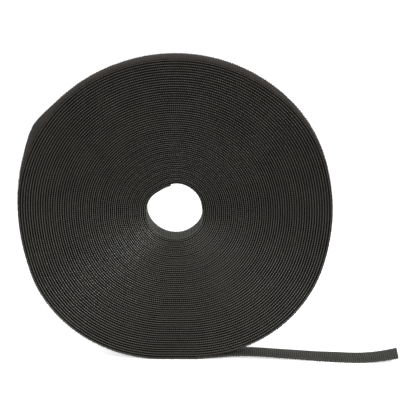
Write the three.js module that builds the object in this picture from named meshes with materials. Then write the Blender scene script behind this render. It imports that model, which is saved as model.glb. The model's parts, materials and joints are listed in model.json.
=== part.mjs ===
// A roll of back-to-back hook and loop tape with no core. It stands on its rim, and its free end lies on the
// surface beside it. The tape is two strips bonded back to back: the hook strip faces the middle of the roll and
// the loop strip faces outwards, so each turn of the roll fastens to the next.
// Millimetres, Z up. The origin is on the surface, under the roll's axis, at the middle of the tape's width.
// X runs along the free end, and the side that faces the viewer looks along minus Y.
import * as THREE from 'three';

// The tape: its width, its two strips, and the clearance that stands for the adhesive between them.
const tape_width = 16;
const hook_strip_thickness = 0.6;
const loop_strip_thickness = 0.6;
const bond_gap = 0.3;

// The roll: its height over the surface, the clear radius of its hole where the tape begins, and the clearance
// between one turn and the next.
const roll_height = 211.5;
const hole_radius = 18.8;
const turn_gap = 0.45;

// The outermost turn has come loose a little at its upper left and stands off the turn below it.
const slack_lift = 3;

// The free end: how far it reaches from the roll's axis, and the clearance at each place where it bends.
const tail_reach = 152.5;
const bend_gap = 0.4;

// The winding is drawn with fewer and thicker turns than the real roll has, apart from its first and last turn,
// which have the tape's real thickness.
const steps_per_turn = 24;
const whole_turns = 22;
const thick_at_end_turns = 1;
const ramp_turns = 1;

// Angles are counted from X towards Z. A facet is centred under the axis, so the roll stands on a flat.
const degree = Math.PI / 180;
const step_angle = 360 / steps_per_turn;
const half_step = step_angle / 2;
const start_angle = 90 + half_step;
const winding_steps = whole_turns * steps_per_turn + steps_per_turn / 2;
const facet_spread = 1 / Math.cos(half_step * degree);

// How far each direction of the roll stands out beyond a true spiral, as a share of the radius. The lower left
// and lower right bulge most, because the roll sags on the flat that it stands on.
const out_of_round_shares = [
  [-90 + half_step, 0],
  [-55, 0.042],
  [-15, 0.018],
  [50, 0.023],
  [90, 0.012],
  [130, 0.027],
  [185, 0.004],
  [230, 0.032],
  [270 - half_step, 0],
  [270 + half_step, 0],
];
const slack_middle_angle = 150;
const slack_half_angle = 24;

const axis_height = roll_height / 2;
const tape_thickness = hook_strip_thickness + bond_gap + loop_strip_thickness;
const hook_share = hook_strip_thickness / (hook_strip_thickness + loop_strip_thickness);

const hook_finish = { color: 0x34352f, roughness: 0.85, metalness: 0 };
const loop_finish = { color: 0x2c2927, roughness: 0.95, metalness: 0 };

const roll = new THREE.Group();

function ease(fraction) {
  const held = Math.min(Math.max(fraction, 0), 1);
  return (1 - Math.cos(Math.PI * held)) / 2;
}

function out_of_round(angle) {
  const turned = angle - 360 * Math.floor((angle - out_of_round_shares[0][0]) / 360);
  const after = out_of_round_shares.findIndex((knot) => knot[0] >= turned - half_step / 1e6);
  if (after <= 0) {
    return 1;
  }
  const [low_angle, low_share] = out_of_round_shares[after - 1];
  const [high_angle, high_share] = out_of_round_shares[after];
  const along = ease((turned - low_angle) / (high_angle - low_angle));
  return 1 + low_share + (high_share - low_share) * along;
}

// How much of the winding's extra thickness a step has: none in the first and last turn, all of it between them.
function thick_part(step) {
  const from_start = (step / steps_per_turn - thick_at_end_turns) / ramp_turns;
  const from_end = ((winding_steps - step) / steps_per_turn - thick_at_end_turns) / ramp_turns;
  return ease(from_start) * ease(from_end);
}

// The radius of the tape's inner face, and the tape's thickness, at every step of the winding. Each turn lies on
// the one before it.
function wind(thickest) {
  const stations = [];
  for (let step = 0; step <= winding_steps; step += 1) {
    const thickness = tape_thickness + (thickest - tape_thickness) * thick_part(step);
    const below = stations[step - steps_per_turn];
    const first_turn_rise = (tape_thickness + turn_gap) * step / steps_per_turn;
    const inner = below ? below.inner + below.thickness + turn_gap : hole_radius + first_turn_rise;
    stations.push({ inner, thickness });
  }
  return stations;
}

// The thickness that makes the winding end at the surface that the roll stands on. The end radius follows the
// thickness in a straight line, so two windings give it.
function thickness_that_fits() {
  const end_radius = (thickest) => wind(thickest).at(-1).inner + tape_thickness;
  const thin = end_radius(tape_thickness);
  const thick = end_radius(tape_thickness * 2);
  return tape_thickness + tape_thickness * (axis_height - thin) / (thick - thin);
}

function wound_stations() {
  const stations = wind(thickness_that_fits());
  const last = stations.at(-1);
  stations.at(-2).inner = last.inner;
  return stations.map((station, step) => {
    const angle = start_angle + step * step_angle;
    const in_last_turn = step > winding_steps - steps_per_turn;
    const from_slack = Math.abs((angle % 360) - slack_middle_angle) / slack_half_angle;
    const lift = in_last_turn ? slack_lift * (1 - ease(from_slack)) : 0;
    return { ...station, angle, spread: out_of_round(angle), lift };
  });
}

// One strip of the tape at a step of the winding: the radii of its two faces.
function strip_radii(station, side) {
  const both_strips = station.thickness - bond_gap;
  const hook_outer = station.inner + both_strips * hook_share;
  const outer = station.inner + station.thickness;
  const [low, high] = side === 'hook' ? [station.inner, hook_outer] : [hook_outer + bond_gap, outer];
  const place = (radius) => (radius * station.spread + station.lift) * facet_spread;
  return { low: place(low), high: place(high), angle: station.angle };
}

function ring_point(radius, angle) {
  return [radius * Math.cos(angle * degree), axis_height + radius * Math.sin(angle * degree)];
}

// A closed strip swept through the winding: four corners at each step, joined to the next step's corners.
function wound_strip_geometry(rings) {
  const half_width = tape_width / 2;
  const positions = [];
  const indices = [];
  rings.forEach((ring, step) => {
    const [low_x, low_z] = ring_point(ring.low, ring.angle);
    const [high_x, high_z] = ring_point(ring.high, ring.angle);
    positions.push(low_x, -half_width, low_z, high_x, -half_width, high_z);
    positions.push(high_x, half_width, high_z, low_x, half_width, low_z);
    if (step === 0) {
      return;
    }
    const now = step * 4;
    const before = now - 4;
    for (let corner = 0; corner < 4; corner += 1) {
      const next = (corner + 1) % 4;
      indices.push(before + corner, before + next, now + next);
      indices.push(before + corner, now + next, now + corner);
    }
  });
  const end = (rings.length - 1) * 4;
  indices.push(0, 3, 2, 0, 2, 1);
  indices.push(end, end + 1, end + 2, end, end + 2, end + 3);
  const geometry = new THREE.BufferGeometry();
  geometry.setAttribute('position', new THREE.Float32BufferAttribute(positions, 3));
  geometry.setIndex(indices);
  geometry.computeVertexNormals();
  return geometry;
}

// The least distance between a strip and the next turn of another strip, or of itself, measured between points
// spaced along the facing edges.
function least_gap(inner_rings, outer_rings, steps_apart) {
  const points_per_step = 8;
  const edge = (rings, key) => rings.slice(1).flatMap((ring, step) => {
    const [from_x, from_z] = ring_point(rings[step][key], rings[step].angle);
    const [to_x, to_z] = ring_point(ring[key], ring.angle);
    return Array.from({ length: points_per_step }, (_, count) => {
      const along = count / points_per_step;
      return [from_x + (to_x - from_x) * along, from_z + (to_z - from_z) * along];
    });
  });
  const low_edge = edge(inner_rings, 'high');
  const high_edge = edge(outer_rings, 'low');
  const reach = 2 * points_per_step;
  let least = Infinity;
  low_edge.forEach(([x, z], place) => {
    const middle = place + steps_apart * points_per_step;
    for (const [other_x, other_z] of high_edge.slice(Math.max(middle - reach, 0), middle + reach)) {
      least = Math.min(least, Math.hypot(x - other_x, z - other_z));
    }
  });
  return least;
}

function add_piece(name, geometry, finish, place = [0, 0, 0]) {
  const mesh = new THREE.Mesh(geometry, new THREE.MeshStandardMaterial(finish));
  mesh.name = name;
  mesh.position.set(...place);
  roll.add(mesh);
}

function add_winding() {
  const stations = wound_stations();
  const hook_rings = stations.map((station) => strip_radii(station, 'hook'));
  const loop_rings = stations.map((station) => strip_radii(station, 'loop'));
  add_piece('hook_strip_wound', wound_strip_geometry(hook_rings), hook_finish);
  add_piece('loop_strip_wound', wound_strip_geometry(loop_rings), loop_finish);
  const gaps = {
    'hook strip to itself': least_gap(hook_rings, hook_rings, steps_per_turn),
    'loop strip to itself': least_gap(loop_rings, loop_rings, steps_per_turn),
    'tape to itself': least_gap(loop_rings, hook_rings, steps_per_turn),
    'hook strip to loop strip': least_gap(hook_rings, loop_rings, 0),
  };
  for (const [what, gap] of Object.entries(gaps)) {
    console.log(`least gap, ${what}: ${gap.toFixed(3)} mm`);
  }
}

// The free end lies flat and bends at places about one facet of the roll apart, so that it can lie back on the
// roll. The first bend is where the tape leaves the roll.
function add_tail() {
  const first_bend = axis_height * Math.tan(half_step * degree) + bend_gap / 2;
  const facet_length = 2 * axis_height * Math.tan(half_step * degree);
  const pieces = Math.max(Math.round((tail_reach - first_bend) / facet_length), 1);
  const bend_spacing = (tail_reach - first_bend) / pieces;
  const hook_bottom = loop_strip_thickness + bond_gap;
  for (let count = 1; count <= pieces; count += 1) {
    const from = first_bend + bend_spacing * (count - 1) + bend_gap / 2;
    const to = first_bend + bend_spacing * count - (count < pieces ? bend_gap / 2 : 0);
    const middle = (from + to) / 2;
    const hook = new THREE.BoxGeometry(to - from, tape_width, hook_strip_thickness);
    const loop = new THREE.BoxGeometry(to - from, tape_width, loop_strip_thickness);
    add_piece(`hook_strip_tail_${count}`, hook, hook_finish, [middle, 0, hook_bottom + hook_strip_thickness / 2]);
    add_piece(`loop_strip_tail_${count}`, loop, loop_finish, [middle, 0, loop_strip_thickness / 2]);
  }
}

add_winding();
add_tail();

export default roll;
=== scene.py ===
import json
import logging
import math
from dataclasses import dataclass, field
from enum import Enum
from typing import ClassVar

import bmesh
import bpy
import numpy as np
from bmesh.types import BMesh, BMVert
from bpy.types import Material, Mesh, Node, NodeSocket, NodeTree, Object
from mathutils import Matrix, Vector

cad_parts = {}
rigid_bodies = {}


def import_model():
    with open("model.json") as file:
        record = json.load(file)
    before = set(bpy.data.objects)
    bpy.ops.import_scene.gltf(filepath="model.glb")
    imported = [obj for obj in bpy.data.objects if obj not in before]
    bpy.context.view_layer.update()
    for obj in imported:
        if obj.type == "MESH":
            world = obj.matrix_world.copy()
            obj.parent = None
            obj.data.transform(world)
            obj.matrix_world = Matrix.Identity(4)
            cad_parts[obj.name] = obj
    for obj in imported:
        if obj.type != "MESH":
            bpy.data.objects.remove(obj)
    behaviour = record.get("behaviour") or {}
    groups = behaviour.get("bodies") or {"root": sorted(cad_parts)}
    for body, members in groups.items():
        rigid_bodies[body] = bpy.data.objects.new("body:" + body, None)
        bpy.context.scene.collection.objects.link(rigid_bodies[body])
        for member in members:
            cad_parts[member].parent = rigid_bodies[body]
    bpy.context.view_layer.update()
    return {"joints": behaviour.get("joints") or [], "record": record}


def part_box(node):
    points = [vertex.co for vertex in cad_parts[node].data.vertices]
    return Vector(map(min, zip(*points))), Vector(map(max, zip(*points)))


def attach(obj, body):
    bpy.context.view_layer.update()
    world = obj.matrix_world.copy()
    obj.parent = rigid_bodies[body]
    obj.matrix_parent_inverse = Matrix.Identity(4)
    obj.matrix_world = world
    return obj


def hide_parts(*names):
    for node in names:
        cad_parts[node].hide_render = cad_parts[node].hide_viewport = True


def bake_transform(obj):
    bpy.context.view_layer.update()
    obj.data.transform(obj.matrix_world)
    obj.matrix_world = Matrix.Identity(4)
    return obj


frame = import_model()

log = logging.getLogger("tape_roll")
Color = tuple[float, float, float, float]
Span = tuple[float, float]
Triple = tuple[float, float, float]
Knots = tuple[Span, ...]
Waves = tuple[Triple, ...]
MM = 0.001
BLACK: Color = (0, 0, 0, 1)
WHITE: Color = (1, 1, 1, 1)
CHART = "tape"
FULL_ARCH = 180
MERGE_SHARE = 0.01


class Strip(Enum):
    """The two strips that are bonded back to back, by the record's material slot."""

    HOOK = "hook_strip"
    LOOP = "loop_strip"


def srgb(red: int, green: int, blue: int) -> Color:
    """Turns a screen colour into the linear colour that a shader takes.

    Args:
        red: The red share, from 0 to 255.
        green: The green share.
        blue: The blue share.

    Returns:
        The linear colour, with an alpha of 1.
    """
    shares = [value / 255 for value in (red, green, blue)]
    linear = [share / 12.92 if share <= 0.04045 else ((share + 0.055) / 1.055) ** 2.4 for share in shares]
    return (*linear, 1.0)


def ease(fraction: np.ndarray) -> np.ndarray:
    """Eases from 0 to 1 along a cosine, and holds 0 before and 1 after."""
    return (1 - np.cos(np.pi * np.clip(fraction, 0, 1))) / 2


def smooth_between(knots: Knots, places: np.ndarray) -> np.ndarray:
    """Runs a smooth curve through chosen values.

    Args:
        knots: Pairs of a place and the value there, in rising order.
        places: Where the value is wanted.

    Returns:
        The value at each place, level with the first and last knot beyond them.
    """
    at, value = np.array(knots).T
    slope = np.gradient(value, at)
    after = np.clip(np.searchsorted(at, places), 1, len(at) - 1)
    span = at[after] - at[after - 1]
    share = np.clip((places - at[after - 1]) / span, 0, 1)
    rise = share**2 * (3 - 2 * share)
    leaving = share * (1 - share) ** 2 * span * slope[after - 1]
    arriving = share**2 * (1 - share) * span * slope[after]
    return value[after - 1] + rise * (value[after] - value[after - 1]) + leaving - arriving


def smooth_around(knots: Knots, angle: np.ndarray) -> np.ndarray:
    """Runs a smooth curve through values that go once round the roll, starting at the first knot's angle."""
    first = knots[0][0]
    return smooth_between(knots, (angle - first) % 360 + first)


def rippled(waves: Waves, turn: np.ndarray) -> np.ndarray:
    """Adds up sine waves. Each is its height, its cycles in a turn and the share of a cycle it starts at."""
    return sum(height * np.sin(2 * math.pi * (turn * rate + start)) for height, rate, start in waves)


@dataclass(frozen=True)
class Route:
    """The tape's way: wound from the hole outwards, then along the surface to the free end.

    A point of the tape is given flat: by its length along the tape from the inner end, its place across the
    width and its height over the bond between the two strips. The hooks are up and the loops are down. The
    route puts that point where it lies on the roll.

    Angles are degrees from X towards Z. Knots round the roll pair an angle with millimetres, or with a share
    of the radius. Knots of the free end pair a share of its length with millimetres or degrees.
    """

    width: float
    axis_height: float
    tail_reach: float
    hook_side: float = 0.75 * MM
    loop_side: float = 0.75 * MM
    hook_depth: float = 0.36 * MM
    hole_radius: float = 18.8 * MM
    turns: float = 58.5
    start_angle: float = 97.5
    pitch_spread: float = 0.36
    pitch_sway: float = 0.065 * MM
    pitch_waves: Waves = ((1.0, 0.371, 0.2), (0.8, 0.227, 0.6))
    sway_fade: float = 0.7
    flat_half_angle: float = 7.5
    roundness_at_hole: float = 0.25
    hole_reach: float = 20 * MM
    edge_wander: float = 0.12 * MM
    edge_waves: Waves = ((1.0, 0.618, 0.1), (0.7, 1.37, 0.4))
    least_height: float = 0.02 * MM
    # In turns: how soft a change is, and where each change starts or ends, counted back from the roll's end.
    soft_change: float = 0.125
    rim_end: float = 0.15
    settle_start: float = 0.6
    settle_span: float = 0.5
    drift_start: float = 0.14
    drift_span: float = 0.12
    tail_curl: float = 4.0 * MM
    curl_start: float = 0.75
    curl_power: float = 2.2
    hole_offsets: Knots = (
        (8, -1.45), (50, -0.1), (85, 0.45), (106, -0.5), (125, -0.9), (141, -0.25), (158, 0.05),
        (185, -0.3), (240, -1.35), (275, -1.05), (311, -1.15), (338, -0.85), (368, -1.45),
    )
    rim_crown: float = 0.25 * MM
    slack_bow: float = 0.6
    slack_lifts: Knots = (
        (112, 0), (125, 0.4), (134, 1.0), (140, 1.9), (145, 3.5), (149, 4.5), (154, 3.6), (160, 2.2),
        (168, 1.3), (178, 0),
    )
    rim_bulges: Knots = (
        (-67, 0.033), (-49, 0.0485), (-31, 0.043), (-12, 0.0212), (5, 0.0168), (32, 0.0272), (60, 0.0205),
        (85, 0.016), (105, 0.014), (128, 0.016), (150, 0.012), (170, 0.009), (187, 0.0022), (197, 0.0075),
        (210, 0.0285), (228, 0.0388), (245, 0.03),
    )
    tail_drifts: Knots = (
        (0, 1.0), (0.15, 1.2), (0.5, 4.1), (0.6, 5.1), (0.71, 6.9), (0.83, 8.2), (1, 9.4),
    )
    tail_humps: Knots = (
        (0, 0), (0.1, 1.0), (0.22, 2.1), (0.45, 1.25), (0.62, 0.3), (0.75, 0), (1, 0),
    )
    tail_twists: Knots = (
        (0, 0), (0.12, -1.0), (0.27, -1.7), (0.6, 0), (0.71, 1.6), (0.83, 1.2), (1, 2.7),
    )
    samples_per_turn: int = 48

    @property
    def pitch(self) -> float:
        """How far apart the turns are on average."""
        return (self.end_radius - self.start_radius) / self.turns

    @property
    def start_radius(self) -> float:
        """The radius of the bond at the inner end."""
        return self.hole_radius + self.hook_side

    @property
    def end_radius(self) -> float:
        """The radius of the bond where the tape meets the surface."""
        return self.axis_height - self.loop_side

    @property
    def tail_start(self) -> float:
        """How far from the roll's axis the free end leaves the flat under the roll."""
        return self.end_radius * math.tan(math.radians(self.flat_half_angle))

    @property
    def wound_length(self) -> float:
        """The length of tape on the roll."""
        return float(self.length_at(np.array(self.turns)))

    @property
    def covered_length(self) -> float:
        """The length of tape that has another turn on it."""
        return float(self.length_at(np.array(self.turns - 1)))

    @property
    def length(self) -> float:
        """The whole length of the tape."""
        return self.wound_length + self.tail_reach - self.tail_start

    @property
    def flat_share(self) -> float:
        """How far the ends of the flat under the roll stand out beyond a true spiral."""
        return 1 / math.cos(math.radians(self.flat_half_angle)) - 1

    @property
    def rim_shares(self) -> Knots:
        """How far each direction of the roll stands out beyond a true spiral, as a share of the radius."""
        flat = self.flat_share
        return ((self.flat_half_angle - 90, flat), *self.rim_bulges, (270 - self.flat_half_angle, flat))

    def bond_radius(self, turn: np.ndarray) -> np.ndarray:
        """The radius of the bond on a spiral, whose pitch grows a little outwards and isn't quite regular.

        Args:
            turn: How many turns a point is from the inner end.

        Returns:
            The radius there.
        """
        growth = turn * (1 - self.pitch_spread / 2) + self.pitch_spread * turn**2 / (2 * self.turns)
        sway = self.pitch_sway * rippled(self.pitch_waves, turn)
        inside = ease(turn) * np.clip(1 - turn / self.turns, 0, 1) ** self.sway_fade
        return self.start_radius + self.pitch * growth + sway * inside

    def length_at(self, turn: np.ndarray) -> np.ndarray:
        """The length of tape from the inner end to a turn."""
        grown = turn**2 / 2 * (1 - self.pitch_spread / 2) + self.pitch_spread * turn**3 / (6 * self.turns)
        return 2 * math.pi * (self.start_radius * turn + self.pitch * grown)

    def turn_at(self, length: np.ndarray) -> np.ndarray:
        """The turn on which a length of tape from the inner end lies."""
        turns = np.linspace(0, self.turns, int(self.turns * self.samples_per_turn))
        return np.interp(length, self.length_at(turns), turns)

    def roundness(self, angle: np.ndarray, radius: np.ndarray) -> np.ndarray:
        """How far the roll stands out beyond a true spiral, which fades towards the hole.

        Args:
            angle: Degrees from X towards Z.
            radius: The radius on the true spiral.

        Returns:
            The factor on the radius.
        """
        shares = smooth_around(self.rim_shares, angle)
        from_bottom = np.abs((angle + 270) % 360 - 180)
        on_flat = 1 / np.cos(np.radians(np.minimum(from_bottom, self.flat_half_angle))) - 1
        spread = np.where(from_bottom < self.flat_half_angle, on_flat, shares)
        outwards = ease((radius - self.hole_radius) / (self.axis_height - self.hole_radius))
        least = self.roundness_at_hole
        return 1 + spread * (least + (1 - least) * outwards)

    def on_last_turn(self, turn: np.ndarray) -> np.ndarray:
        """1 on the outermost turn and 0 inside it, with a soft change."""
        return ease((turn - self.turns + 1) / self.soft_change)

    def pressed(self, turn: np.ndarray, height: np.ndarray) -> np.ndarray:
        """How far the next turn presses the loop strip together. The hooks are stiff, and the rim is free.

        Args:
            turn: The turn on which a point lies.
            height: Its height over the bond.

        Returns:
            The factor on the height.
        """
        pitch = self.bond_radius(turn + 1) - self.bond_radius(turn)
        share = (pitch - self.hook_depth) / (self.hook_side + self.loop_side - self.hook_depth)
        return np.where(height > 0, 1, share + (1 - share) * self.on_last_turn(turn))

    def wound(self, flat: np.ndarray) -> np.ndarray:
        """Places flat points that lie on the roll. The outermost turn's back edge stands off a little.

        Args:
            flat: One row a point: length along the tape, place across it and height over the bond.

        Returns:
            One row a point, in the frame's coordinates.
        """
        length, across, height = flat.T
        turn = self.turn_at(length)
        angle = self.start_angle + 360 * turn
        last_turn = self.on_last_turn(turn)
        true_radius = self.bond_radius(turn)
        near_hole = np.exp(-(true_radius - self.start_radius) / self.hole_reach)
        pressed_height = height * self.pressed(turn, height)
        radius = (true_radius - pressed_height) * self.roundness(angle, true_radius)
        radius = radius + MM * smooth_around(self.hole_offsets, angle) * near_hole
        to_back = np.clip(across / self.width + 0.5, 0, 1) ** self.slack_bow
        radius = radius + MM * smooth_between(self.slack_lifts, angle % 360) * last_turn * to_back
        on_rim = last_turn * ease((self.turns - self.rim_end - turn) / self.soft_change)
        radius = radius + self.rim_crown * (1 - (2 * across / self.width) ** 2) * on_rim
        settled = 1 - ease((turn - self.turns + self.settle_start) / self.settle_span)
        wander = self.edge_wander * rippled(self.edge_waves, turn) * settled
        drift = MM * self.tail_drifts[0][1] * ease((turn - self.turns + self.drift_start) / self.drift_span)
        x = radius * np.cos(np.radians(angle))
        z = self.axis_height + radius * np.sin(np.radians(angle))
        return np.stack([x, across + wander - drift, z], axis=-1)

    def tail(self, flat: np.ndarray) -> np.ndarray:
        """Places flat points of the free end, which drifts towards the viewer and curls up at its tip.

        Args:
            flat: One row a point: length along the tape, place across it and height over the bond.

        Returns:
            One row a point, in the frame's coordinates.
        """
        length, across, height = flat.T
        run = length - self.wound_length
        share = run / (self.tail_reach - self.tail_start)
        twist = np.radians(smooth_between(self.tail_twists, share))
        curl = np.clip((share - self.curl_start) / (1 - self.curl_start), 0, None) ** self.curl_power
        lifted = MM * np.clip(smooth_between(self.tail_humps, share), 0, None) + self.tail_curl * curl
        middle = self.loop_side + lifted + np.abs(np.sin(twist)) * self.width / 2
        drift = MM * smooth_between(self.tail_drifts, share)
        y = across * np.cos(twist) - height * np.sin(twist) - drift
        z = middle + across * np.sin(twist) + height * np.cos(twist)
        return np.stack([self.tail_start + run, y, z], axis=-1)

    def place(self, flat: np.ndarray) -> np.ndarray:
        """Puts flat points of the tape where they lie on the roll and its free end.

        Args:
            flat: One row a point: length along the tape, place across it and height over the bond.

        Returns:
            One row a point, in the frame's coordinates. What would reach the surface is pressed flat on it.
        """
        free = flat[:, 0] >= self.wound_length
        placed = np.empty_like(flat)
        placed[~free] = self.wound(flat[~free])
        placed[free] = self.tail(flat[free])
        placed[:, 2] = np.maximum(placed[:, 2], self.least_height)
        return placed


@dataclass(frozen=True)
class Stretch:
    """A stretch of the tape between two lengths from its inner end, and what it moves with."""

    name: str
    start: float
    end: float
    bodies: tuple[str, ...]
    bend: Span | None = None

    def hold(self, piece: Object) -> None:
        """Makes a piece move with this stretch's body, or, where the stretch bends, bakes the piece's place
        into its points.

        Args:
            piece: The piece.
        """
        if self.bend is None:
            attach(piece, self.bodies[0])
        else:
            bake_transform(piece)


def add_object(name: str, data: bpy.types.ID) -> Object:
    """Adds an object to the scene.

    Args:
        name: The object's name.
        data: Its mesh, lamp or camera.

    Returns:
        The object.
    """
    added = bpy.data.objects.new(name, data)
    bpy.context.scene.collection.objects.link(added)
    return added


def mesh_of(work: BMesh, name: str) -> Mesh:
    """Turns a bmesh into a mesh, with its faces outwards, and frees it.

    Args:
        work: The bmesh.
        name: The mesh's name.

    Returns:
        The mesh.
    """
    bmesh.ops.recalc_face_normals(work, faces=work.faces)
    mesh = bpy.data.meshes.new(name)
    work.to_mesh(mesh)
    work.free()
    return mesh


def gathered(parts: list[Mesh], name: str) -> Mesh:
    """Gathers some meshes into one.

    Args:
        parts: The meshes.
        name: The new mesh's name.

    Returns:
        The new mesh.
    """
    work = bmesh.new()
    for part in parts:
        work.from_mesh(part)
    return mesh_of(work, name)


def repeated(unit: Mesh, count: int, pitch: float, joined: bool) -> Mesh:
    """Repeats one unit of the flat tape along X.

    Args:
        unit: The unit's mesh.
        count: How many there are in all.
        pitch: How far apart they are.
        joined: Whether each one's end is merged with the start of the next.

    Returns:
        The whole run as one mesh.
    """
    carrier = add_object(unit.name, unit)
    array = carrier.modifiers.new("repeat", "ARRAY")
    array.count = count
    array.use_relative_offset = False
    array.use_constant_offset = True
    array.constant_offset_displace = (pitch, 0, 0)
    array.use_merge_vertices = joined
    array.merge_threshold = pitch * MERGE_SHARE
    evaluated = carrier.evaluated_get(bpy.context.evaluated_depsgraph_get())
    run = bpy.data.meshes.new_from_object(evaluated)
    bpy.data.objects.remove(carrier)
    return run


def smooth_faces(mesh: Mesh) -> None:
    """Shades all of a mesh's faces smooth."""
    mesh.polygons.foreach_set("use_smooth", np.full(len(mesh.polygons), True))


def flat_points(mesh: Mesh) -> np.ndarray:
    """Reads a mesh's points.

    Args:
        mesh: The mesh.

    Returns:
        One row a point.
    """
    points = np.empty(len(mesh.vertices) * 3, dtype=np.float32)
    mesh.vertices.foreach_get("co", points)
    return points.reshape(-1, 3).astype(float)


def close_ends(mesh: Mesh) -> None:
    """Fills the two open ends of a swept strip.

    Args:
        mesh: The strip's mesh.
    """
    work = bmesh.new()
    work.from_mesh(mesh)
    bmesh.ops.holes_fill(work, edges=[edge for edge in work.edges if edge.is_boundary], sides=0)
    bmesh.ops.recalc_face_normals(work, faces=work.faces)
    work.to_mesh(mesh)
    work.free()


@dataclass(frozen=True)
class Thread:
    """The thread that hooks or loops are bent from, and how far it bends over."""

    thickness: float
    sides: int
    bend_degrees: float
    bend_steps: int

    def grow(self, work: BMesh, stem: float, bend_radius: float) -> list[BMVert]:
        """Grows one thread that stands up from the origin and bends over towards X.

        Args:
            work: The bmesh that it is added to.
            stem: The height at which its bend starts.
            bend_radius: The radius of its bend.

        Returns:
            Its points. A full arch also comes down to the height that it started from.
        """
        before = len(work.verts)
        bmesh.ops.create_circle(work, cap_ends=True, segments=self.sides, radius=self.thickness / 2)
        work.faces.ensure_lookup_table()
        grown = bmesh.ops.extrude_face_region(work, geom=[work.faces[-1]])["geom"]
        risen = [item for item in grown if isinstance(item, BMVert)]
        bmesh.ops.translate(work, vec=(0, 0, stem), verts=risen)
        turned = bmesh.ops.spin(
            work,
            geom=grown,
            cent=(bend_radius, 0, stem),
            axis=(0, 1, 0),
            angle=math.radians(self.bend_degrees),
            steps=self.bend_steps,
        )["geom_last"]
        if self.bend_degrees == FULL_ARCH:
            grown = bmesh.ops.extrude_face_region(work, geom=turned)["geom"]
            lowered = [item for item in grown if isinstance(item, BMVert)]
            bmesh.ops.translate(work, vec=(0, 0, -stem), verts=lowered)
        work.verts.ensure_lookup_table()
        return work.verts[before:]


class ShaderTree:
    """Adds nodes to a material, a world or a node group and links them."""

    def __init__(self, tree: NodeTree) -> None:
        """Keeps the tree that the nodes go into."""
        self.tree = tree

    def add(self, kind: str, inputs: dict[str | int, object] | None = None, **settings: object) -> Node:
        """Adds a node.

        Args:
            kind: The node's Blender type.
            inputs: A value or another node's output for each input, by its name or number.
            settings: Attributes of the node, set before its inputs.

        Returns:
            The new node.
        """
        node = self.tree.nodes.new(kind)
        for key, value in settings.items():
            setattr(node, key, value)
        for key, value in (inputs or {}).items():
            self.feed(node.inputs[key], value)
        return node

    def feed(self, socket: NodeSocket, value: object) -> None:
        """Links an output to a socket, or sets the socket's own value.

        Args:
            socket: The socket.
            value: The output or the value.
        """
        if isinstance(value, NodeSocket):
            self.tree.links.new(value, socket)
        else:
            socket.default_value = value

    def math(self, operation: str, *values: object) -> NodeSocket:
        """Adds a Math node and returns its output."""
        return self.add("ShaderNodeMath", dict(enumerate(values)), operation=operation).outputs[0]

    def mix(self, factor: object, first: object, second: object) -> NodeSocket:
        """Adds a colour mix and returns its output. Sockets 6 and 7 of the node take the two colours."""
        return self.add("ShaderNodeMix", {0: factor, 6: first, 7: second}, data_type="RGBA").outputs[2]

    def noise(self, place: object, scale: object, detail: float, roughness: float = 0.5) -> NodeSocket:
        """Adds a noise texture and returns its value."""
        inputs = {"Vector": place, "Scale": scale, "Detail": detail, "Roughness": roughness}
        return self.add("ShaderNodeTexNoise", inputs).outputs[0]

    def ramp(
        self, value: object, low: float, high: float, floor: float = 0.0, ceiling: float = 1.0
    ) -> NodeSocket:
        """Stretches a value from low to high onto floor to ceiling, and returns the output."""
        limits = {"From Min": low, "From Max": high, "To Min": floor, "To Max": ceiling}
        return self.add("ShaderNodeMapRange", {"Value": value, **limits}).outputs[0]


def new_group(name: str, inputs: dict[str, float | Color], outputs: dict[str, str]) -> ShaderTree:
    """Starts a shader node group with named sockets.

    Args:
        name: The group's name.
        inputs: The default of each input, a number or a colour.
        outputs: The socket type of each output, Float or Color.

    Returns:
        The helper for the new group's tree.
    """
    group = bpy.data.node_groups.new(name, "ShaderNodeTree")
    for socket_name, default in inputs.items():
        kind = "NodeSocketFloat" if isinstance(default, float) else "NodeSocketColor"
        socket = group.interface.new_socket(socket_name, in_out="INPUT", socket_type=kind)
        socket.default_value = default
    for socket_name, kind in outputs.items():
        group.interface.new_socket(socket_name, in_out="OUTPUT", socket_type=f"NodeSocket{kind}")
    return ShaderTree(group)


@dataclass(frozen=True)
class YarnWeave:
    """Threads along and across the tape, read from the tape's own coordinates."""

    name: str = "yarn weave"
    inputs: dict[str, float | Color] = field(
        default_factory=lambda: {
            "Along Pitch": 0.5 * MM,
            "Across Pitch": 0.3 * MM,
            "Crossing": 1.0,
            "Fray": 0.4,
        }
    )
    fray_scale: float = 900.0
    fray_detail: float = 2.0
    threads_in_mask: float = 0.8
    fray_in_mask: float = 0.3

    def build(self) -> NodeTree:
        """Makes the group.

        Returns:
            The group. It puts out the threads' height and a mask, high on their tops, for painted shade in
            the hollows.
        """
        tree = new_group(self.name, self.inputs, {"Height": "Float", "Mask": "Float"})
        given = tree.add("NodeGroupInput").outputs
        place = tree.add("ShaderNodeUVMap", uv_map=CHART).outputs[0]
        parts = tree.add("ShaderNodeSeparateXYZ", {0: place}).outputs
        fray = tree.noise(place, self.fray_scale, self.fray_detail)
        wobble = tree.math("MULTIPLY", tree.math("SUBTRACT", fray, 0.5), given["Fray"])
        waves = []
        for axis, pitch in (("X", "Along Pitch"), ("Y", "Across Pitch")):
            cycles = tree.math("ADD", tree.math("DIVIDE", parts[axis], given[pitch]), wobble)
            wave = tree.math("SINE", tree.math("MULTIPLY", cycles, 2 * math.pi))
            waves.append(tree.math("MULTIPLY_ADD", wave, 0.5, 0.5))
        crossed = tree.math("ADD", tree.math("MULTIPLY", waves[1], given["Crossing"]), 1.0)
        crossed = tree.math("SUBTRACT", crossed, given["Crossing"])
        height = tree.math("MULTIPLY", waves[0], crossed)
        frayed = tree.math("MULTIPLY", fray, self.fray_in_mask)
        # The mask is high on the threads' tops and low in the hollows between them, where the finishes lay
        # painted shade.
        mask = tree.math("MULTIPLY_ADD", height, self.threads_in_mask, frayed)
        tree.add("NodeGroupOutput", {"Height": height, "Mask": mask})
        return tree.tree


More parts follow.
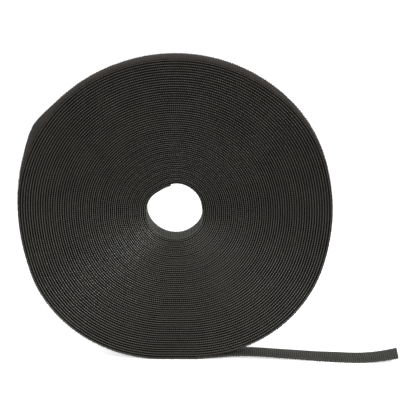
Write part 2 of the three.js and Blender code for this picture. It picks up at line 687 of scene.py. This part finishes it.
@dataclass(frozen=True)
class FibreFuzz:
    """Fine fibres and lint: small bright specks in soft patches, and a slow change of shade."""

    name: str = "fibre fuzz"
    inputs: dict[str, float | Color] = field(
        default_factory=lambda: {
            "Color": (0.05, 0.05, 0.05, 1.0),
            "Lint Color": (0.2, 0.2, 0.2, 1.0),
            "Lint": 0.3,
            "Grain Scale": 1800.0,
            "Shade": 0.3,
        }
    )
    grain_detail: float = 3.0
    grain_roughness: float = 0.7
    patch_scale: float = 70.0
    patch_detail: float = 5.0
    patch_roughness: float = 0.65
    lint_in_grain: Span = (0.54, 0.74)
    lint_in_patch: Span = (0.35, 0.7)
    lint_outside: float = 0.2
    shade_in_patch: Span = (0.62, 0.38)

    def build(self) -> NodeTree:
        """Makes the group.

        Returns:
            The group. It lays lint and shade over a colour, and also puts out the grain's height.
        """
        tree = new_group(self.name, self.inputs, {"Color": "Color", "Height": "Float"})
        given = tree.add("NodeGroupInput").outputs
        place = tree.add("ShaderNodeTexCoord").outputs["Object"]
        grain = tree.noise(place, given["Grain Scale"], self.grain_detail, self.grain_roughness)
        patch = tree.noise(place, self.patch_scale, self.patch_detail, self.patch_roughness)
        in_patch = tree.ramp(patch, *self.lint_in_patch, self.lint_outside)
        lint = tree.math("MULTIPLY", tree.ramp(grain, *self.lint_in_grain), in_patch)
        shade = tree.math("MULTIPLY", tree.ramp(patch, *self.shade_in_patch), given["Shade"])
        shaded = tree.mix(shade, given["Color"], BLACK)
        laid = tree.mix(tree.math("MULTIPLY", lint, given["Lint"]), shaded, given["Lint Color"])
        tree.add("NodeGroupOutput", {"Color": laid, "Height": grain})
        return tree.tree


@dataclass(frozen=True)
class Finish:
    """One finish of the tape: the colours of its threads, of the painted shade in the hollows between them
    and of its lint.

    The chart adds a point's height to its place across the tape, so the chart's middle isn't at 0.
    """

    name: str
    thread: Color
    # The colour laid in the hollows between the threads, which is painted shade.
    depth: Color
    lint: Color
    lint_amount: float
    roughness: float
    specular: float
    sheen: float = 0.0
    sheen_roughness: float = 0.5
    edge_roughness: float | None = None
    edge_place: float = 7.6 * MM
    edge_blend: float = 0.2 * MM
    chart_middle: float = 0.35 * MM
    grain_scale: float = 1800.0
    along_pitch: float = 0.5 * MM
    across_pitch: float = 0.3 * MM
    crossing: float = 1.0
    fibre_height: float = 0.5
    relief: float = 0.05 * MM
    bump_strength: float = 0.8

    def build(self, weave: NodeTree, fuzz: NodeTree) -> Material:
        """Makes the material from the shared groups.

        Args:
            weave: The group of the threads.
            fuzz: The group of the lint and the shade.

        Returns:
            The material.
        """
        material = bpy.data.materials.new(self.name)
        material.use_nodes = True
        tree = ShaderTree(material.node_tree)
        shader = material.node_tree.nodes["Principled BSDF"]
        pitches = {"Along Pitch": self.along_pitch, "Across Pitch": self.across_pitch}
        weaving = {**pitches, "Crossing": self.crossing}
        threads = tree.add("ShaderNodeGroup", weaving, node_tree=weave).outputs
        # Painted shade: the colour darkens from the threads' tops into the hollows between them.
        woven = tree.mix(threads["Mask"], self.depth, self.thread)
        lint = {
            "Color": woven,
            "Lint Color": self.lint,
            "Lint": self.lint_amount,
            "Grain Scale": self.grain_scale,
        }
        fibres = tree.add("ShaderNodeGroup", lint, node_tree=fuzz).outputs
        height = tree.math("MULTIPLY_ADD", fibres["Height"], self.fibre_height, threads["Height"])
        relief = {"Height": height, "Distance": self.relief, "Strength": self.bump_strength}
        bump = tree.add("ShaderNodeBump", relief)
        tree.feed(shader.inputs["Base Color"], fibres["Color"])
        tree.feed(shader.inputs["Normal"], bump.outputs[0])
        shader.inputs["Roughness"].default_value = self.roughness
        if self.edge_roughness is not None:
            tree.feed(shader.inputs["Roughness"], self.edge_gloss(tree))
        shader.inputs["Specular IOR Level"].default_value = self.specular
        shader.inputs["Sheen Weight"].default_value = self.sheen
        shader.inputs["Sheen Roughness"].default_value = self.sheen_roughness
        return material

    def edge_gloss(self, tree: ShaderTree) -> NodeSocket:
        """Adds nodes for the roughness, which differs where the threads turn at the tape's two edges.

        Args:
            tree: The material's tree.

        Returns:
            The roughness.
        """
        place = tree.add("ShaderNodeUVMap", uv_map=CHART).outputs[0]
        across = tree.add("ShaderNodeSeparateXYZ", {0: place}).outputs["Y"]
        from_middle = tree.math("ABSOLUTE", tree.math("SUBTRACT", across, self.chart_middle))
        inner, outer = self.edge_place, self.edge_place + self.edge_blend
        return tree.ramp(from_middle, inner, outer, self.roughness, self.edge_roughness)


class Finishes:
    """Every finish of the tape, built once."""

    def __init__(self) -> None:
        """Builds the shared groups and the materials."""
        groups = YarnWeave().build(), FibreFuzz().build()
        # The hook backing's colour is partly its own dark nylon and partly painted shade for the gaps between
        # the turns.
        self.hook_backing = Finish(
            "hook backing", thread=srgb(38, 38, 32), depth=srgb(20, 20, 16), lint=srgb(72, 72, 64),
            lint_amount=0.12, roughness=0.8, specular=0.2,
        ).build(*groups)
        # The ribs are lighter than the backing's nylon: partly their own colour and partly a painted
        # highlight for the gloss of their ends.
        self.ribs = Finish(
            "hook ribs", thread=srgb(47, 46, 39), depth=srgb(32, 32, 26), lint=srgb(90, 89, 81),
            lint_amount=0.15, roughness=0.62, specular=0.74, edge_roughness=0.36,
            along_pitch=0.14 * MM, crossing=0.0, relief=0.008 * MM,
        ).build(*groups)
        self.hooks = Finish(
            "hooks", thread=srgb(55, 54, 45), depth=srgb(42, 41, 34), lint=srgb(90, 89, 79),
            lint_amount=0.1, roughness=0.6, specular=0.3,
        ).build(*groups)
        # The loop backing's colour is partly its own dark colour and partly painted shade for the gaps
        # between the turns.
        self.loop_backing = Finish(
            "loop backing", thread=srgb(36, 33, 31), depth=srgb(17, 15, 14), lint=srgb(74, 67, 63),
            lint_amount=0.12, roughness=0.9, specular=0.05,
        ).build(*groups)
        # Painted shade: a darker copy of the open pile's colour, for the pile that lies covered between the
        # turns.
        self.pressed_pile_painted_shade = Finish(
            "pressed pile painted shade", thread=srgb(33, 30, 28), depth=srgb(15, 14, 13), lint=srgb(68, 60, 57),
            lint_amount=0.25, roughness=0.95, specular=0.02, grain_scale=2600.0,
        ).build(*groups)
        self.pile = Finish(
            "loop pile", thread=srgb(51, 49, 46), depth=srgb(24, 23, 21), lint=srgb(85, 80, 76),
            lint_amount=0.3, roughness=0.9, specular=0.1, sheen=0.03, grain_scale=2600.0,
            along_pitch=1.6 * MM, crossing=0.3,
        ).build(*groups)
        self.loops = Finish(
            "pile loops", thread=srgb(92, 73, 69), depth=srgb(60, 48, 46), lint=srgb(118, 97, 92),
            lint_amount=0.2, roughness=0.75, specular=0.15, sheen=0.05,
        ).build(*groups)


@dataclass
class TapeLayer:
    """What the two strips share: how flat meshes are swept or repeated, laid on the route and dressed."""

    route: Route
    finishes: Finishes
    steps_per_turn: int = 120
    tail_step: float = 1.0 * MM
    roll_margin: float = 10 * MM
    bevel_share: float = 0.3
    bevel_depth: float = 0.4 * MM

    strip: ClassVar[Strip]

    def dress(self, name: str, mesh: Mesh, flat: np.ndarray, finish: Material) -> Object:
        """Charts a flat mesh by the tape's own coordinates, lays it on the route and finishes it.

        Args:
            name: The piece's name.
            mesh: The mesh.
            flat: Its points: length along the tape, place across it and height over the bond.
            finish: Its material.

        Returns:
            The piece.
        """
        mesh.name = name
        chart = mesh.uv_layers.new(name=CHART)
        corners = np.empty(len(mesh.loops), dtype=np.int32)
        mesh.loops.foreach_get("vertex_index", corners)
        charted = np.stack([flat[:, 0], flat[:, 1] + flat[:, 2]], axis=-1)[corners]
        chart.data.foreach_set("uv", charted.astype(np.float32).ravel())
        mesh.vertices.foreach_set("co", self.route.place(flat).astype(np.float32).ravel())
        mesh.materials.clear()
        mesh.materials.append(finish)
        mesh.update()
        piece = add_object(name, mesh)
        log.info("%s: %d faces", name, len(mesh.polygons))
        return piece

    def swept(self, name: str, run: Span, heights: Span, width: float, finish: Material) -> Object:
        """A closed strip with bevelled long edges along a run of the tape.

        Args:
            name: The piece's name.
            run: The lengths of tape at which it starts and ends.
            heights: The heights of its lower and upper face over the bond.
            width: Its width.
            finish: Its material.

        Returns:
            The piece.
        """
        low, high = heights
        work = bmesh.new()
        bmesh.ops.create_cube(work, size=1)
        bmesh.ops.scale(work, vec=(1, width, high - low), verts=work.verts)
        bmesh.ops.translate(work, vec=(0.5, 0, (low + high) / 2), verts=work.verts)
        ends = [face for face in work.faces if abs(face.normal.x) > 0.5]
        bmesh.ops.delete(work, geom=ends, context="FACES_ONLY")
        long_edges = [edge for edge in work.edges if abs(edge.verts[0].co.x - edge.verts[1].co.x) > 0.5]
        bmesh.ops.bevel(
            work,
            geom=long_edges,
            offset=min(high - low, self.bevel_depth) * self.bevel_share,
            affect="EDGES",
            segments=1,
            profile=0.5,
            material=-1,
        )
        unit = mesh_of(work, name)
        start, end = run
        on_roll = start < self.route.wound_length - self.roll_margin
        first, last = (float(turn) for turn in self.route.turn_at(np.array(run)))
        count = round((last - first) * self.steps_per_turn if on_roll else (end - start) / self.tail_step)
        mesh = repeated(unit, count, 1.0, joined=True)
        close_ends(mesh)
        smooth_faces(mesh)
        flat = flat_points(mesh)
        share = flat[:, 0] / count
        on_turns = self.route.length_at(first + share * (last - first))
        flat[:, 0] = on_turns if on_roll else start + share * (end - start)
        return self.dress(name, mesh, flat, finish)

    def rows(self, name: str, unit: Mesh, unit_length: float, run: Span, finish: Material) -> Object:
        """A unit of the flat tape repeated over a run of it, a little closer or wider so that it fits.

        Args:
            name: The piece's name.
            unit: The mesh of one unit.
            unit_length: The unit's length along the tape.
            run: The lengths of tape at which the run starts and ends.
            finish: Its material.

        Returns:
            The piece.
        """
        start, end = run
        count = max(round((end - start) / unit_length), 1)
        mesh = repeated(unit, count, unit_length, joined=False)
        flat = flat_points(mesh)
        flat[:, 0] = start + flat[:, 0] * (end - start) / (count * unit_length)
        return self.dress(name, mesh, flat, finish)

    def attach(self, pieces: list[Object], stretch: Stretch) -> None:
        """Makes the pieces of a stretch move with it, and stand for its CAD node.

        Args:
            pieces: The pieces.
            stretch: The stretch.
        """
        for piece in pieces:
            stretch.hold(piece)
            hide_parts(f"{self.strip.value}_{stretch.name}")


@dataclass
class HookStrip(TapeLayer):
    """The strip that faces the middle of the roll: a woven backing with ribs across it and rows of hooks.

    What varies from rib to rib or from hook to hook is drawn from a span: of shares, or of millimetres.
    """

    backing_bottom: float = -0.03 * MM
    backing_top: float = 0.36 * MM
    rib_foot: float = 0.10 * MM
    rib_top: float = 0.60 * MM
    rib_pitch: float = 1.37 * MM
    rib_length: float = 1.05 * MM
    rib_length_shares: Span = (0.93, 1.07)
    rib_top_share: float = 0.74
    rib_overhang: float = 0.29 * MM
    rib_overhang_shares: Span = (0.88, 1.12)
    rib_skew: float = 0.018 * MM
    rib_end_strays: Span = (-0.02, 0.03)
    rib_end_slope: float = 0.1
    rib_rounding: float = 0.17 * MM
    rib_seed: int = 3
    wound_rib_pieces: int = 5
    wound_ribs_per_unit: int = 29
    tail_ribs_per_unit: int = 2
    hook_top: float = 0.95 * MM
    hook_root: float = 0.1 * MM
    hook_pitch: float = 0.9 * MM
    hook_thread: Thread = Thread(0.11 * MM, sides=4, bend_degrees=205, bend_steps=4)
    hook_bend: float = 0.09 * MM
    hook_stray: float = 0.07 * MM
    hook_jitter: float = 0.2 * MM
    hook_rises: Span = (-0.05, 0)
    hook_twist: float = 0.3
    hook_seed: int = 5
    hooked_turns: float = 1.05
    wound_hook_rows_per_unit: int = 10

    strip: ClassVar[Strip] = Strip.HOOK

    def rib_unit(self, ribs: int) -> Mesh:
        """Some ribs across the whole width. Each one's ends slope towards the hook side, as its thread turns.

        Args:
            ribs: How many ribs the unit has.

        Returns:
            The unit's mesh.
        """
        random = np.random.default_rng(self.rib_seed)
        work = bmesh.new()
        rise = self.rib_top - self.rib_foot
        for count in range(ribs):
            length = self.rib_length * random.uniform(*self.rib_length_shares)
            size = (length, self.route.width, rise)
            middle = ((count + 0.5) * self.rib_pitch, 0, self.rib_foot + rise / 2)
            spot = Matrix.Translation(middle) @ Matrix.Diagonal((*size, 1))
            corners = bmesh.ops.create_cube(work, size=1, matrix=spot)["verts"]
            top = [corner for corner in corners if corner.co.z > middle[2]]
            away = Matrix.Translation((-middle[0], 0, 0))
            narrowed = Matrix.Diagonal((self.rib_top_share, 1, 1, 1))
            bmesh.ops.transform(work, matrix=narrowed, space=away, verts=top)
            for side in (-1, 1):
                overhang = self.rib_overhang * random.uniform(*self.rib_overhang_shares)
                skew = self.rib_skew * random.uniform(-1, 1)
                low_end = [corner for corner in corners if corner not in top and corner.co.y * side > 0]
                high_end = [corner for corner in top if corner.co.y * side > 0]
                for corner in low_end:
                    out = overhang + math.copysign(skew, corner.co.x - middle[0])
                    bmesh.ops.translate(work, vec=(0, side * max(out, 0), 0), verts=[corner])
                stray = random.uniform(*self.rib_end_strays) * MM
                bmesh.ops.translate(work, vec=(0, side * stray, 0), verts=high_end)
            bmesh.ops.bevel(
                work,
                geom=list({edge for corner in top for edge in corner.link_edges}),
                offset=self.rib_rounding,
                affect="EDGES",
                segments=1,
                profile=0.5,
                material=-1,
            )
        mesh = mesh_of(work, "ribs")
        for face in mesh.polygons:
            face.use_smooth = abs(face.normal.y) < self.rib_end_slope
        return mesh

    def hook_unit(self, hook_rows: int) -> Mesh:
        """Some rows of hooks, bent from round thread. Neighbouring rows open opposite ways.

        Args:
            hook_rows: How many rows the unit has.

        Returns:
            The unit's mesh.
        """
        random = np.random.default_rng(self.hook_seed)
        rows = []
        columns = int(self.route.width / self.hook_pitch)
        foot = self.rib_top - self.hook_root
        stem = self.hook_top - foot - self.hook_bend - self.hook_thread.thickness / 2
        for row in range(hook_rows):
            work = bmesh.new()
            facing = 1 - 2 * (row % 2)
            for column in range(columns):
                along, across = random.normal(0, self.hook_stray), random.normal(0, self.hook_jitter)
                along += (row + 0.5) * self.rib_pitch - facing * self.hook_bend
                across += (column - (columns - 1) / 2) * self.hook_pitch
                hook = self.hook_thread.grow(work, stem, self.hook_bend)
                spot = Matrix.Translation((along, across, foot + random.uniform(*self.hook_rises) * MM))
                twist = random.uniform(-self.hook_twist, self.hook_twist)
                turned = Matrix.Rotation(math.pi * (row % 2) + twist, 4, "Z")
                bmesh.ops.transform(work, matrix=spot @ turned, verts=hook)
            rows.append(mesh_of(work, "hook row"))
        mesh = gathered(rows, "hooks")
        smooth_faces(mesh)
        return mesh

    def rib_runs(self, stretch: Stretch) -> dict[str, Span]:
        """Cuts a stretch's ribs into pieces. The wound ribs are too many for one.

        Args:
            stretch: The stretch.

        Returns:
            The lengths of tape at which each piece starts and ends, by its name.
        """
        if stretch.bend is not None:
            return {f"ribs_{stretch.name}": (stretch.start, stretch.end)}
        parts = self.wound_rib_pieces
        cuts = self.route.length_at(self.route.turns * np.sqrt(np.linspace(0, 1, parts + 1)))
        cuts[-1] = stretch.end
        return {f"ribs_{stretch.name}_{part + 1}": (cuts[part], cuts[part + 1]) for part in range(parts)}

    def build(self, stretches: list[Stretch]) -> None:
        """Builds the backing, the ribs and the hooks of every stretch.

        Args:
            stretches: The stretches. Only the innermost turn and the free end show their hooks.
        """
        route, finishes = self.route, self.finishes
        backing = (self.backing_bottom, self.backing_top)
        for stretch in stretches:
            name, along = stretch.name, (stretch.start, stretch.end)
            hook_run = along
            rib_count = hook_rows = self.tail_ribs_per_unit
            if stretch.bend is None:
                hook_run = (stretch.start, float(route.length_at(np.array(self.hooked_turns))))
                rib_count, hook_rows = self.wound_ribs_per_unit, self.wound_hook_rows_per_unit
            pieces = [self.swept(f"hook_backing_{name}", along, backing, route.width, finishes.hook_backing)]
            ribs, ribs_length = self.rib_unit(rib_count), rib_count * self.rib_pitch
            for rib_name, run in self.rib_runs(stretch).items():
                pieces.append(self.rows(rib_name, ribs, ribs_length, run, finishes.ribs))
            hooks, hooks_length = self.hook_unit(hook_rows), hook_rows * self.rib_pitch
            pieces.append(self.rows(f"hooks_{name}", hooks, hooks_length, hook_run, finishes.hooks))
            self.attach(pieces, stretch)


@dataclass
class LoopStrip(TapeLayer):
    """The strip that faces outwards: a knitted backing with a pile of fine loops.

    What varies from loop to loop is drawn from a span: of millimetres, of shares, or of radians for a lean.
    """

    backing_top: float = -0.01 * MM
    backing_depth: float = 0.32 * MM
    pile_overlap: float = 0.02 * MM
    pile_depth: float = 0.62 * MM
    pressed_depth: float = 1.25 * MM
    pile_recess: float = 0.35 * MM
    loop_thread: Thread = Thread(0.08 * MM, sides=3, bend_degrees=FULL_ARCH, bend_steps=3)
    loop_root: float = 0.1 * MM
    loop_inset: float = 0.15 * MM
    loop_depth: float = 1.1 * MM
    loop_depth_shares: Span = (0.78, 1.0)
    loop_bends: Span = (0.16, 0.3)
    least_stem: float = 0.03 * MM
    loop_leans: Span = (-0.7, 0.7)
    edge_leans: Span = (0.3, 1.2)
    edge_insets: Span = (0, 0.3)
    loop_row_pitch: float = 1.6 * MM
    loop_row_jitter: float = 0.16
    loop_rows_per_patch: int = 15
    loops_per_row: int = 22
    edge_loops_per_row: int = 12
    loop_parts: int = 3
    loop_seed: int = 7

    strip: ClassVar[Strip] = Strip.LOOP

    def loop_unit(self) -> Mesh:
        """A patch of pile loops: rows of small arches of thin thread, more of them at each row's two ends.

        Returns:
            The patch's mesh.
        """
        random = np.random.default_rng(self.loop_seed)
        rows = []
        foot = self.pile_depth - self.loop_root
        edge = self.route.width / 2 - self.loop_inset
        downwards = Matrix.Diagonal((1, 1, -1, 1))
        for row in range(self.loop_rows_per_patch):
            work = bmesh.new()
            for count in range(self.loops_per_row + self.edge_loops_per_row):
                bend = random.uniform(*self.loop_bends) * MM
                reach = self.loop_depth * random.uniform(*self.loop_depth_shares) - foot
                arch = self.loop_thread.grow(work, max(reach - bend, self.least_stem), bend)
                across, lean = random.uniform(-edge, edge), random.uniform(*self.loop_leans)
                if count >= self.loops_per_row:
                    side = random.choice((-1, 1))
                    across = side * (edge - random.uniform(*self.edge_insets) * MM)
                    lean = -side * random.uniform(*self.edge_leans)
                along = (row + 0.5 + random.normal(0, self.loop_row_jitter)) * self.loop_row_pitch
                spot = Matrix.Translation((along, across, -foot))
                turned = Matrix.Rotation(random.uniform(0, 2 * math.pi), 4, "Z")
                leaned = Matrix.Rotation(lean, 4, "X")
                bmesh.ops.transform(work, matrix=spot @ downwards @ leaned @ turned, verts=arch)
            rows.append(mesh_of(work, "loop row"))
        mesh = gathered(rows, "loops")
        smooth_faces(mesh)
        return mesh

    def build(self, stretches: list[Stretch]) -> None:
        """Builds the backing, the pile and the loops of every stretch.

        Args:
            stretches: The stretches. Only the outermost turn and the free end show single loops.
        """
        route, finishes = self.route, self.finishes
        loops, patch_length = self.loop_unit(), self.loop_rows_per_patch * self.loop_row_pitch
        pile_width = route.width - 2 * self.pile_recess
        pile_top = self.pile_overlap - self.backing_depth
        backing, pile = (-self.backing_depth, self.backing_top), (-self.pile_depth, pile_top)
        pressed = (-self.pressed_depth, pile_top)
        for stretch in stretches:
            name, along = stretch.name, (stretch.start, stretch.end)
            open_run, parts = along, 1
            pieces = [self.swept(f"loop_backing_{name}", along, backing, route.width, finishes.loop_backing)]
            if stretch.bend is None:
                covered, open_run = (stretch.start, route.covered_length), (route.covered_length, stretch.end)
                parts = self.loop_parts
                # The covered pile takes the darker copy of the pile's colour, which is painted shade between
                # the turns.
                pieces.append(self.swept("pressed_pile_painted_shade", covered, pressed, pile_width, finishes.pressed_pile_painted_shade))
            pieces.append(self.swept(f"loop_pile_{name}", open_run, pile, pile_width, finishes.pile))
            cuts = np.linspace(*open_run, parts + 1)
            for part in range(parts):
                part_name = f"loops_{name}_{part + 1}" if parts > 1 else f"loops_{name}"
                run = (cuts[part], cuts[part + 1])
                pieces.append(self.rows(part_name, loops, patch_length, run, finishes.loops))
            self.attach(pieces, stretch)


@dataclass(frozen=True)
class Studio:
    """The white floor, the lights and the camera."""

    aim: Triple = (22.3 * MM, -8 * MM, 109.2 * MM)
    elevation: float = 17.8
    distance: float = 1.34
    span: float = 279.4 * MM
    sensor: float = 36.0
    world_strength: float = 0.34
    lamp_distance: float = 1.4
    left_size: Span = (1.2, 1.2)
    right_size: Span = (0.4, 1.2)
    left_power: float = 18.5
    right_power: float = 27.0
    left_lamp: Triple = (-0.77, -0.53, 0.36)
    right_lamp: Triple = (0.69, -0.54, 0.48)
    floor_radius: float = 4.0
    floor_sides: int = 64
    floor_color: Color = (0.8, 0.8, 0.8, 1)
    floor_roughness: float = 0.9
    floor_glow: float = 0.6

    def camera(self) -> None:
        """Adds the camera at the photograph's viewing angle."""
        data = bpy.data.cameras.new("camera")
        data.sensor_width = self.sensor
        data.lens = self.sensor * self.distance / self.span
        camera = add_object("camera", data)
        tilt = math.radians(self.elevation)
        back = Vector((0, -math.cos(tilt), math.sin(tilt)))
        camera.location = Vector(self.aim) + back * self.distance
        camera.rotation_euler = (math.pi / 2 - tilt, 0, 0)
        bpy.context.scene.camera = camera

    def lamp(self, name: str, direction: Triple, size: Span, power: float) -> None:
        """Adds a softbox that faces the roll.

        Args:
            name: The lamp's name.
            direction: The direction from the roll's middle to the lamp.
            size: Its width and height.
            power: Its power in watts.
        """
        data = bpy.data.lights.new(name, "AREA")
        data.shape = "RECTANGLE"
        data.size, data.size_y = size
        data.energy = power
        lamp = add_object(name, data)
        towards = Vector(direction).normalized()
        lamp.location = Vector((0, 0, self.aim[2])) + towards * self.lamp_distance
        lamp.rotation_euler = (-towards).to_track_quat("-Z", "Y").to_euler()

    def shown(self, tree: ShaderTree) -> NodeSocket:
        """Adds a mask of the rays that show the backdrop: from the camera, off gloss and through glass.

        Args:
            tree: The tree that it goes into.

        Returns:
            The mask.
        """
        path = tree.add("ShaderNodeLightPath").outputs
        seen = tree.math("MAXIMUM", path["Is Camera Ray"], path["Is Glossy Ray"])
        return tree.math("MAXIMUM", seen, path["Is Transmission Ray"])

    def world(self) -> None:
        """Adds a plain world that lights softly and shows white."""
        world = bpy.data.worlds.new("white room")
        bpy.context.scene.world = world
        world.use_nodes = True
        tree = ShaderTree(world.node_tree)
        background = world.node_tree.nodes["Background"]
        background.inputs["Color"].default_value = WHITE
        lighting = self.world_strength
        strength = tree.math("MULTIPLY_ADD", self.shown(tree), 1 - lighting, lighting)
        tree.feed(background.inputs["Strength"], strength)

    def floor(self) -> None:
        """Adds the white surface that the roll stands on, which keeps a faint shadow."""
        work = bmesh.new()
        bmesh.ops.create_circle(work, cap_ends=True, segments=self.floor_sides, radius=self.floor_radius)
        mesh = mesh_of(work, "floor")
        floor = add_object("floor", mesh)
        material = bpy.data.materials.new("white floor")
        material.use_nodes = True
        tree = ShaderTree(material.node_tree)
        shader = material.node_tree.nodes["Principled BSDF"]
        shader.inputs["Base Color"].default_value = self.floor_color
        shader.inputs["Roughness"].default_value = self.floor_roughness
        shader.inputs["Specular IOR Level"].default_value = 0.0
        shader.inputs["Emission Color"].default_value = WHITE
        glow = tree.math("MULTIPLY", self.shown(tree), self.floor_glow)
        tree.feed(shader.inputs["Emission Strength"], glow)
        mesh.materials.append(material)

    def build(self) -> None:
        """Sets up the room, the lamps and the camera."""
        bpy.context.scene.view_settings.view_transform = "Standard"
        self.world()
        self.floor()
        self.lamp("upper left lamp", self.left_lamp, self.left_size, self.left_power)
        self.lamp("upper right lamp", self.right_lamp, self.right_size, self.right_power)
        self.camera()


@dataclass(frozen=True)
class Cutting:
    """Where the tape is cut into stretches, and how far before and after each hinge the free end bends."""

    bend_reach: float = 12 * MM
    peel_before: float = 4 * MM
    peel_after: float = 13 * MM
    cut_before: float = 5 * MM

    def stretches(self, route: Route) -> list[Stretch]:
        """Cuts the tape into what lies on the roll and one stretch around each bend of the free end.

        Args:
            route: The tape's way.

        Returns:
            The stretches from the inner end to the free end.
        """
        joints = frame["joints"]
        bends = [joint["pos_m"][0] for joint in joints]
        runs = [(bend - self.bend_reach, bend + self.bend_reach) for bend in bends]
        runs[0] = (bends[0] - self.peel_before, bends[0] + self.peel_after)
        halfway = [(near + far) / 2 for near, far in zip(bends, bends[1:])]
        cuts = [bends[0] - self.cut_before, *halfway, route.tail_reach]
        lengths = [route.wound_length + cut - route.tail_start for cut in cuts]
        stretches = [Stretch("wound", 0, lengths[0], (joints[0]["parent"],))]
        for count, joint in enumerate(joints):
            start, end = lengths[count : count + 2]
            bodies = (joint["parent"], joint["child"])
            stretches.append(Stretch(f"tail_{count + 1}", start, end, bodies, runs[count]))
        return stretches


def main() -> None:
    """Builds the studio, the two strips of the tape and their finishes."""
    logging.basicConfig(level=logging.INFO, format="%(message)s")
    low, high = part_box("hook_strip_wound")
    rest = next(mount for mount in frame["record"]["mounts"] if mount["name"] == "front_side_rest")
    route = Route(
        width=high.y - low.y, axis_height=rest["pos_m"][2], tail_reach=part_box("hook_strip_tail_5")[1].x
    )
    log.info("tape length: %.3f m in %.1f turns", route.length, route.turns)
    Studio().build()
    finishes = Finishes()
    stretches = Cutting().stretches(route)
    HookStrip(route, finishes).build(stretches)
    LoopStrip(route, finishes).build(stretches)


if __name__ == "__main__":
    main()
